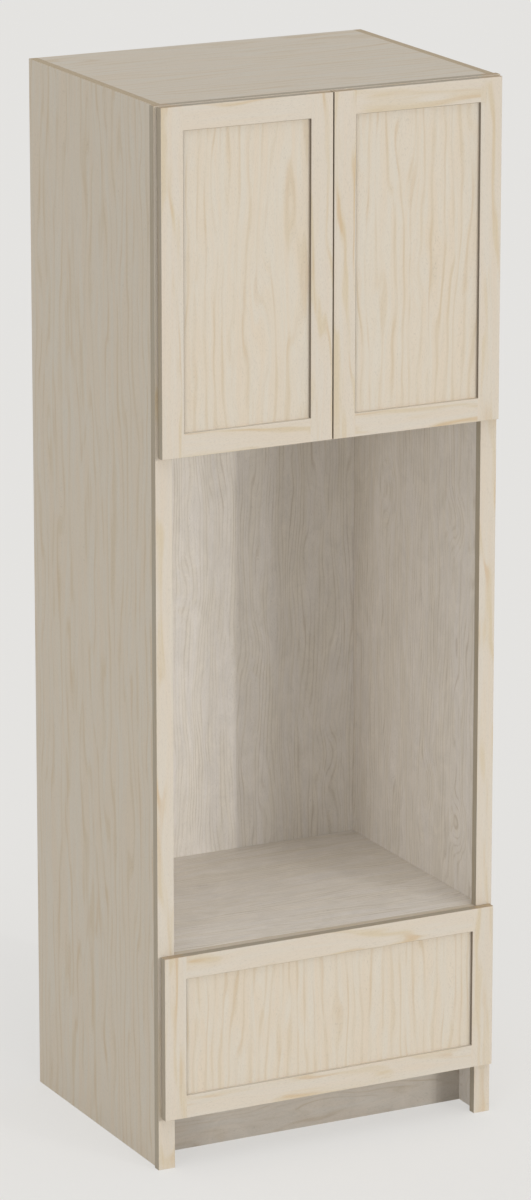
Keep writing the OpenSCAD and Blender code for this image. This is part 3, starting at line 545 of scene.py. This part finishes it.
# ----------------------------------------------------------------------------------------------
# Screws: steel, cold headed with a cross recess, rolled thread, bright zinc plated. They hold the
# back, decks, cleats, spacers, slides, face frame and drawer front.
# ----------------------------------------------------------------------------------------------
def plated(name, colour, rough, spread, grit):
    """Steel with a plated skin: soft gloss that varies from spot to spot, grit in mm."""
    material, tree = new_material(name)
    place = add(tree, "TexCoord", {}, {}).outputs["Object"]
    cloud = add(tree, "TexNoise", {"Scale": 1 / (grit * MM), "Detail": 4.0, "Roughness": 0.6},
                {"Vector": place})
    gloss = add(tree, "MapRange", {"To Min": rough - spread, "To Max": rough + spread},
                {"Value": cloud.outputs["Fac"]})
    tone = add(tree, "MapRange", {"To Min": 0.88, "To Max": 1.06},
               {"Value": cloud.outputs["Fac"]})
    base = add(tree, "VectorMath", {"operation": "SCALE", 0: linear(colour)[:3]}, {"Scale": tone})
    bump = add(tree, "Bump", {"Strength": 0.1, "Distance": 0.1 * MM},
               {"Height": cloud.outputs["Fac"]})
    shader = add(tree, "BsdfPrincipled", {"Metallic": 1.0},
                 {"Base Color": base, "Roughness": gloss, "Normal": bump})
    add(tree, "OutputMaterial", {}, {"Surface": shader})
    return material


# zinc, bright passivated: a cool, fairly even shine
zinc = plated("steel_bright_zinc_plated", "c6c9cc", rough=0.34, spread=0.08, grit=3.0)


def turned(name, outline, sides):
    """A turned part: a disc extruded and scaled from one (height, radius) to the next, in mm."""
    bpy.ops.object.select_all(action="DESELECT")
    height, radius = outline[0]
    bpy.ops.mesh.primitive_circle_add(vertices=sides, radius=radius * MM, fill_type="NGON",
                                      location=(0, 0, height * MM))
    piece = bpy.context.object
    piece.name = name
    bpy.ops.object.transform_apply(location=True)
    bpy.ops.object.mode_set(mode="EDIT")
    bpy.ops.mesh.select_mode(type="FACE")
    bpy.ops.mesh.select_all(action="SELECT")
    for next_height, next_radius in outline[1:]:
        bpy.ops.mesh.extrude_region_move(
            TRANSFORM_OT_translate={"value": (0, 0, (next_height - height) * MM)})
        size = next_radius / radius
        bpy.ops.transform.resize(value=(size, size, 1),
                                 center_override=(0, 0, next_height * MM))
        height, radius = next_height, next_radius
    bpy.ops.mesh.select_all(action="SELECT")
    bpy.ops.mesh.normals_make_consistent(inside=False)
    bpy.ops.object.mode_set(mode="OBJECT")
    return piece


def cross_recess(screw, wide, deep):
    """Sinks a cross with tapered wings into a screw's head, as the heading punch does, in mm."""
    wing, taper = 0.24 * wide, 0.4
    for across, along in ((wide, wing), (wing, wide)):
        bpy.ops.object.select_all(action="DESELECT")
        bpy.ops.mesh.primitive_cube_add(size=2 * MM)
        punch = bpy.context.object
        bpy.ops.object.mode_set(mode="EDIT")
        bpy.ops.mesh.select_all(action="SELECT")
        bpy.ops.transform.resize(value=(across / 2, along / 2, deep), center_override=(0, 0, 0))
        bpy.ops.mesh.select_all(action="DESELECT")
        cage = bmesh.from_edit_mesh(punch.data)
        for corner in cage.verts:
            corner.select = corner.co.z < 0
        cage.select_flush(True)
        bmesh.update_edit_mesh(punch.data)
        bpy.ops.transform.resize(value=(taper, taper, 1), center_override=(0, 0, 0))
        bpy.ops.object.mode_set(mode="OBJECT")
        bpy.ops.object.select_all(action="DESELECT")
        bpy.context.view_layer.objects.active = screw
        screw.select_set(True)
        sink = screw.modifiers.new("cross", "BOOLEAN")
        sink.operation, sink.solver, sink.object = "DIFFERENCE", "EXACT", punch
        bpy.ops.object.modifier_apply(modifier=sink.name)
        bpy.data.objects.remove(punch)


# both are drawn head up, in mm, and each copy is stretched to its own head, shank and length
drawn_head_r, drawn_head_h, drawn_shank_r, drawn_l = 4.0, 2.0, 2.0, 24.0
thread_root_r, thread_pitch, thread_turns = 1.4, 1.3, 14
thread = [ring for k in range(thread_turns)
          for ring in ((-4.0 - thread_pitch * k, thread_root_r),
                       (-4.65 - thread_pitch * k, drawn_shank_r))]
shank = [(-drawn_head_h, drawn_shank_r), (-3.4, drawn_shank_r), *thread, (-22.6, thread_root_r),
         (-drawn_l, 0.3)]
flat_head = [(0.0, 3.85), (-0.15, drawn_head_r), (-0.35, 3.8)]
flat_screw = turned("flat_head_screw", flat_head + shank, sides=20)
cross_recess(flat_screw, wide=4.6, deep=1.5)
pan_head = [(0.0, 1.8), (-0.12, 2.9), (-0.5, 3.7), (-1.0, drawn_head_r),
            (-drawn_head_h, drawn_head_r)]
pan_screw = turned("pan_head_screw", pan_head + shank, sides=20)
cross_recess(pan_screw, wide=4.4, deep=1.3)


def stretched(master, head_r, head_h, shank_r, length):
    """A copy of a master screw, fitted to the sizes in mm of the screw that it stands for."""
    copy = bpy.data.objects.new(master.name, master.data.copy())
    bpy.context.scene.collection.objects.link(copy)
    hair, neck_from = 1e-4, drawn_head_h - 0.01
    for vertex in copy.data.vertices:
        at = -vertex.co.z / MM
        wide = math.hypot(vertex.co.x, vertex.co.y) / MM
        if at > drawn_head_h + hair:
            part = shank_r / drawn_shank_r
            beyond = (at - drawn_head_h) / (drawn_l - drawn_head_h)
            vertex.co.z = -(head_h + beyond * (length - head_h)) * MM
        else:
            neck = wide < drawn_shank_r + hair and at > neck_from
            part = shank_r / drawn_shank_r if neck else head_r / drawn_head_r
            vertex.co.z = -at / drawn_head_h * head_h * MM
        vertex.co.x *= part
        vertex.co.y *= part
    return copy


def solids_in(node):
    """The number and the corners of each separate solid of a CAD node."""
    plain = merged_copy(node, node + "_plain")
    corners = {}
    for vertex, number in zip(plain.data.vertices, loose_parts(plain.data)):
        corners.setdefault(number, []).append(vertex.co.copy())
    bpy.data.objects.remove(plain)
    return [(number, corners[number]) for number in sorted(corners)]


def joined(copies, name, smooth_to):
    """Makes one piece of the copies of a master, shaded smooth up to so many degrees."""
    bpy.ops.object.select_all(action="DESELECT")
    for copy in copies:
        copy.select_set(True)
    piece = bpy.context.view_layer.objects.active = copies[0]
    bpy.ops.object.join()
    piece.name = name
    bpy.ops.object.shade_smooth_by_angle(angle=math.radians(smooth_to))
    return piece


def driven(master, number, corners):
    """A detailed screw in the place of a plain one, which its corners give.

    Its number turns its cross its own way.
    """
    end_reach, below_head, off_axis = 0.1 * MM, 4 * MM, 0.5 * MM
    widest_from, lowest_side_wall = 0.98, 0.5 * MM
    turn_step = 0.618
    middle = sum(corners, Vector()) / len(corners)
    # a screw's corners lie evenly round its axis, which is where they spread furthest
    spread = np.cov(np.array([corner - middle for corner in corners]).T)
    way = Vector(np.linalg.eigh(spread)[1][:, 2])
    along = [(corner - middle).dot(way) for corner in corners]
    out = [(corner - middle - way * t).length for corner, t in zip(corners, along)]
    low, high = min(along), max(along)
    near_low = max(r for r, t in zip(out, along) if t < low + end_reach)
    near_high = max(r for r, t in zip(out, along) if t > high - end_reach)
    if near_high > near_low:
        # the head is at the other end
        along, way = [-t for t in along], -way
        low, high = -high, -low
    head_r = max(out)
    shank_r = max(r for r, t in zip(out, along) if t > low + below_head and r > off_axis)
    head_h = max([t - low for r, t in zip(out, along) if r > widest_from * head_r] or [0])
    if head_h < lowest_side_wall:
        # a countersunk head has no side wall, and tapers at 45 degrees
        head_h = head_r - shank_r
    copy = stretched(master, head_r / MM, head_h / MM, shank_r / MM, (high - low) / MM)
    turn = Matrix.Rotation(number * turn_step, 4, "Z")
    stand = (-way).to_track_quat("Z", "Y").to_matrix().to_4x4()
    copy.data.transform(Matrix.Translation(middle + way * low) @ stand @ turn)
    return copy


def drive_screws(node, master, body, material):
    """Puts a detailed screw where each of a node's plain ones is, and makes them one piece."""
    screws = [driven(master, number, corners) for number, corners in solids_in(node)]
    piece = joined(screws, node + "_driven", smooth_to=30)
    piece.data.materials.append(material)
    stand_in(piece, node, body)


drive_screws("cabinet_screws", flat_screw, "cabinet", zinc)
drive_screws("drawer_screws", flat_screw, "drawer", zinc)
drive_screws("pocket_screws", pan_screw, "cabinet", zinc)

# ----------------------------------------------------------------------------------------------
# Hinges: pressed steel, satin nickel plated. A drawn cup let into the door, a plate with two
# cheeks on the frame's inner edge and a link between their riveted pins.
# ----------------------------------------------------------------------------------------------
# nickel, brushed before plating: warmer than zinc, with a soft shine
nickel = plated("steel_satin_nickel_plated", "bfb9ae", rough=0.30, spread=0.06, grit=1.6)


def pressed(node, body, material, round_off):
    """A pressed or rolled steel part made from its CAD node, its sheared edges rounded, in mm."""
    sheared, smooth_to = math.radians(40), math.radians(35)
    piece = merged_copy(node, node + "_pressed")
    start_edit(piece)
    cage = bmesh.from_edit_mesh(piece.data)
    for edge in cage.edges:
        edge.select = edge.is_manifold and edge.calc_face_angle_signed() > sheared
    bmesh.update_edit_mesh(piece.data)
    bpy.ops.mesh.bevel(offset=round_off * MM, segments=2, affect="EDGES", clamp_overlap=True)
    bpy.ops.object.mode_set(mode="OBJECT")
    bpy.ops.object.shade_smooth_by_angle(angle=smooth_to)
    piece.data.materials.append(material)
    stand_in(piece, node, body)
    return piece


for side in ("left", "right"):
    pressed(side + "_hinge_arms", "cabinet", nickel, round_off=0.2)
    pressed(side + "_hinge_links", side + "_hinge_links", nickel, round_off=0.15)
    pressed(side + "_hinge_cups", side + "_door", nickel, round_off=0.2)
    drive_screws(side + "_cup_screws", flat_screw, side + "_door", nickel)
drive_screws("hinge_arm_screws", pan_screw, "cabinet", nickel)

# ----------------------------------------------------------------------------------------------
# Shelf pins: a turned steel peg with a flat tongue pressed on, satin nickel plated. Four of them
# are pushed into the holes of the side panels and carry the shelf.
# ----------------------------------------------------------------------------------------------
pressed("shelf_pins", "cabinet", nickel, round_off=0.4)


# ----------------------------------------------------------------------------------------------
# Drawer slides: three members rolled from 1.2 mm steel strip, bright zinc plated, that run on
# steel balls in pressed cages. The rollers leave faint lines along the members.
# ----------------------------------------------------------------------------------------------
def rolled_zinc():
    """Zinc-plated strip: lines along the rolling direction, drawn 0.8 mm apart so they show."""
    material, tree = new_material("steel_strip_roll_formed_zinc_plated")
    place = add(tree, "TexCoord", {}, {}).outputs["Object"]
    along = add(tree, "Mapping", {"Scale": (1250, 12, 1250)}, {"Vector": place})
    lines = add(tree, "TexNoise", {"Scale": 1.0, "Detail": 3.0}, {"Vector": along})
    # the plating clouds over 11 mm
    cloud = add(tree, "TexNoise", {"Scale": 90.0, "Detail": 3.0}, {"Vector": place})
    mixed = add(tree, "Math", {"operation": "ADD"},
                {0: lines.outputs["Fac"], 1: cloud.outputs["Fac"]})
    gloss = add(tree, "MapRange", {"From Min": 0.6, "From Max": 1.4,
                                   "To Min": 0.26, "To Max": 0.44}, {"Value": mixed})
    tone = add(tree, "MapRange", {"From Min": 0.6, "From Max": 1.4,
                                  "To Min": 0.88, "To Max": 1.06}, {"Value": mixed})
    base = add(tree, "VectorMath", {"operation": "SCALE", 0: linear("c3c8cd")[:3]},
               {"Scale": tone})
    bump = add(tree, "Bump", {"Strength": 0.15, "Distance": 0.1 * MM},
               {"Height": lines.outputs["Fac"]})
    shader = add(tree, "BsdfPrincipled", {"Metallic": 1.0},
                 {"Base Color": base, "Roughness": gloss, "Normal": bump})
    add(tree, "OutputMaterial", {}, {"Surface": shader})
    return material


strip = rolled_zinc()
for node, body in (("cabinet_slide_members", "cabinet"),
                   ("intermediate_slide_members", "slide_intermediates"),
                   ("drawer_slide_members", "drawer")):
    pressed(node, body, strip, round_off=0.3)

# hardened, ground and polished: each ball has one bright, even spot
polished = plated("steel_ball_ground_polished", "d2d4d6", rough=0.14, spread=0.03, grit=1.2)
# a ball is shorter than this along the slide, and a cage is longer
longest_ball = 4 * MM
for node, body in (("outer_ball_cages", "outer_cages"), ("inner_ball_cages", "inner_cages")):
    cages = pressed(node, body, zinc, round_off=0.05)
    cages.data.materials.append(polished)
    part = loose_parts(cages.data)
    reach = {}
    for vertex, number in zip(cages.data.vertices, part):
        low, high = reach.get(number, (vertex.co.y, vertex.co.y))
        reach[number] = (min(low, vertex.co.y), max(high, vertex.co.y))
    for face in cages.data.polygons:
        low, high = reach[part[face.vertices[0]]]
        face.material_index = 1 if high - low < longest_ball else 0


# ----------------------------------------------------------------------------------------------
# Bumpers: clear cast polyurethane domes, stuck on the face frame where the doors and the drawer
# front close against it.
# ----------------------------------------------------------------------------------------------
def clear_pad_material():
    """Cast polyurethane: clear, with a soft shine that is a little cloudy every 2.5 mm."""
    material, tree = new_material("polyurethane_clear_cast")
    place = add(tree, "TexCoord", {}, {}).outputs["Object"]
    cloud = add(tree, "TexNoise", {"Scale": 400.0, "Detail": 2.0}, {"Vector": place})
    haze = add(tree, "MapRange", {"To Min": 0.12, "To Max": 0.34},
               {"Value": cloud.outputs["Fac"]})
    shader = add(tree, "BsdfPrincipled", {"Base Color": linear("eef0ec"), "IOR": 1.48,
                                          "Transmission Weight": 0.85}, {"Roughness": haze})
    add(tree, "OutputMaterial", {}, {"Surface": shader})
    return material


dome = turned("bumper", [(0.0, 4.0), (0.5, 4.0), (0.85, 3.75), (1.15, 3.1), (1.35, 2.1),
                         (1.42, 0.9)], sides=24)
facing_front = Matrix.Rotation(math.radians(90), 4, "X")
domes = []
for number, corners in solids_in("bumpers"):
    middle = sum(corners, Vector()) / len(corners)
    back = max(corner.y for corner in corners)
    copy = bpy.data.objects.new("bumper", dome.data.copy())
    bpy.context.scene.collection.objects.link(copy)
    copy.data.transform(Matrix.Translation((middle.x, back, middle.z)) @ facing_front)
    domes.append(copy)
bumpers = joined(domes, "bumpers_cast", smooth_to=50)
bumpers.data.materials.append(clear_pad_material())
stand_in(bumpers, "bumpers", "cabinet")
for master in (flat_screw, pan_screw, dome):
    bpy.data.objects.remove(master)

# ----------------------------------------------------------------------------------------------
# Dowels: turned hardwood pegs with broken ends, glued into the side panels' front edges and the
# back of the face frame, out of sight.
# ----------------------------------------------------------------------------------------------
cut_board("frame_dowels", "cabinet", Y, X, {"-y": maple_end, "+y": maple_end},
          maple, eased=0.4, shortest=0.1)

# ----------------------------------------------------------------------------------------------
# Studio: a wide pale floor under a pale sky, and six far soft lamps. Those from the front light
# the left of the bay's back in three soft steps, as in the photograph.
# ----------------------------------------------------------------------------------------------
bpy.ops.object.select_all(action="DESELECT")
bpy.ops.mesh.primitive_plane_add(size=90, location=(0, 0, 0))
floor = bpy.context.object
floor.name = "studio_floor"
floor_paint, tree = new_material("pale_matt_studio_floor")
matt = add(tree, "BsdfPrincipled", {"Base Color": linear("e6e4e0"), "Roughness": 0.9}, {})
# the lens and the metal see a paler floor, and the shadow on it stays
bright = add(tree, "Emission", {"Color": linear("f4f3f1"), "Strength": 0.95}, {})
ray = add(tree, "LightPath", {}, {})
seen = add(tree, "Math", {"operation": "MAXIMUM"}, {0: ray.outputs["Is Camera Ray"],
                                                    1: ray.outputs["Is Glossy Ray"]})
paler_by = 0.6
share = add(tree, "Math", {"operation": "MULTIPLY", 1: paler_by}, {0: seen})
blend = add(tree, "MixShader", {}, {0: share, 1: matt, 2: bright})
add(tree, "OutputMaterial", {}, {"Surface": blend})
floor.data.materials.append(floor_paint)


def towards(azimuth, elevation):
    """The direction of a place seen from the unit.

    In degrees. Azimuth 0 is in front of it, and a positive one is on the side of its right door.
    """
    a, e = math.radians(azimuth), math.radians(elevation)
    return Vector((math.sin(a) * math.cos(e), -math.cos(a) * math.cos(e), math.sin(e)))


# a sun's place changes nothing in the light, and this keeps it clear of the unit
lamp_distance = 8


def far_lamp(name, azimuth, elevation, strength, angle):
    """A lamp as far off as the sun, whose width in degrees sets how soft its shadows are."""
    lamp = bpy.data.lights.new(name, "SUN")
    lamp.energy = strength
    lamp.angle = math.radians(angle)
    holder = bpy.data.objects.new(name, lamp)
    bpy.context.scene.collection.objects.link(holder)
    back = towards(azimuth, elevation)
    holder.rotation_euler = back.to_track_quat("Z", "Y").to_euler()
    holder.location = back * lamp_distance


# azimuth, elevation, strength and width of each
far_lamp("key_lamp", 25, 14, 0.53, 1.2)
far_lamp("wide_lamp", 31, 10, 0.35, 4)
far_lamp("near_lamp", 18, 10, 0.25, 5)
far_lamp("left_lamp", -52, 7, 0.47, 12)
far_lamp("high_lamp", -15, 66, 0.40, 30)
far_lamp("top_lamp", 0, 84, 0.15, 20)

world = bpy.data.worlds.new("plain_studio")
bpy.context.scene.world = world
world.use_nodes = True
sky = world.node_tree
sky.nodes.clear()
sky_light = add(sky, "Background", {"Color": (1, 1, 1, 1), "Strength": 0.57}, {})
# the lens sees it as pale as the floor
backdrop = add(sky, "Background", {"Color": linear("e3e2df"), "Strength": 1.0}, {})
ray = add(sky, "LightPath", {}, {})
sky_mix = add(sky, "MixShader", {}, {0: ray.outputs["Is Camera Ray"], 1: sky_light, 2: backdrop})
add(sky, "OutputWorld", {}, {"Surface": sky_mix})

scene = bpy.context.scene
scene.view_settings.view_transform = "Standard"
# solved from the edges and corners that the photograph shows
lens = bpy.data.cameras.new("photograph_camera")
lens.sensor_fit = "VERTICAL"
lens.sensor_height = 36
lens.lens = 175.0
lens.clip_end = 200
camera = bpy.data.objects.new("photograph_camera", lens)
scene.collection.objects.link(camera)
camera.location = (-5.4571, -10.7262, 4.4607)
camera.rotation_euler = towards(-26.980, 15.463).to_track_quat("Z", "Y").to_euler()
scene.camera = camera
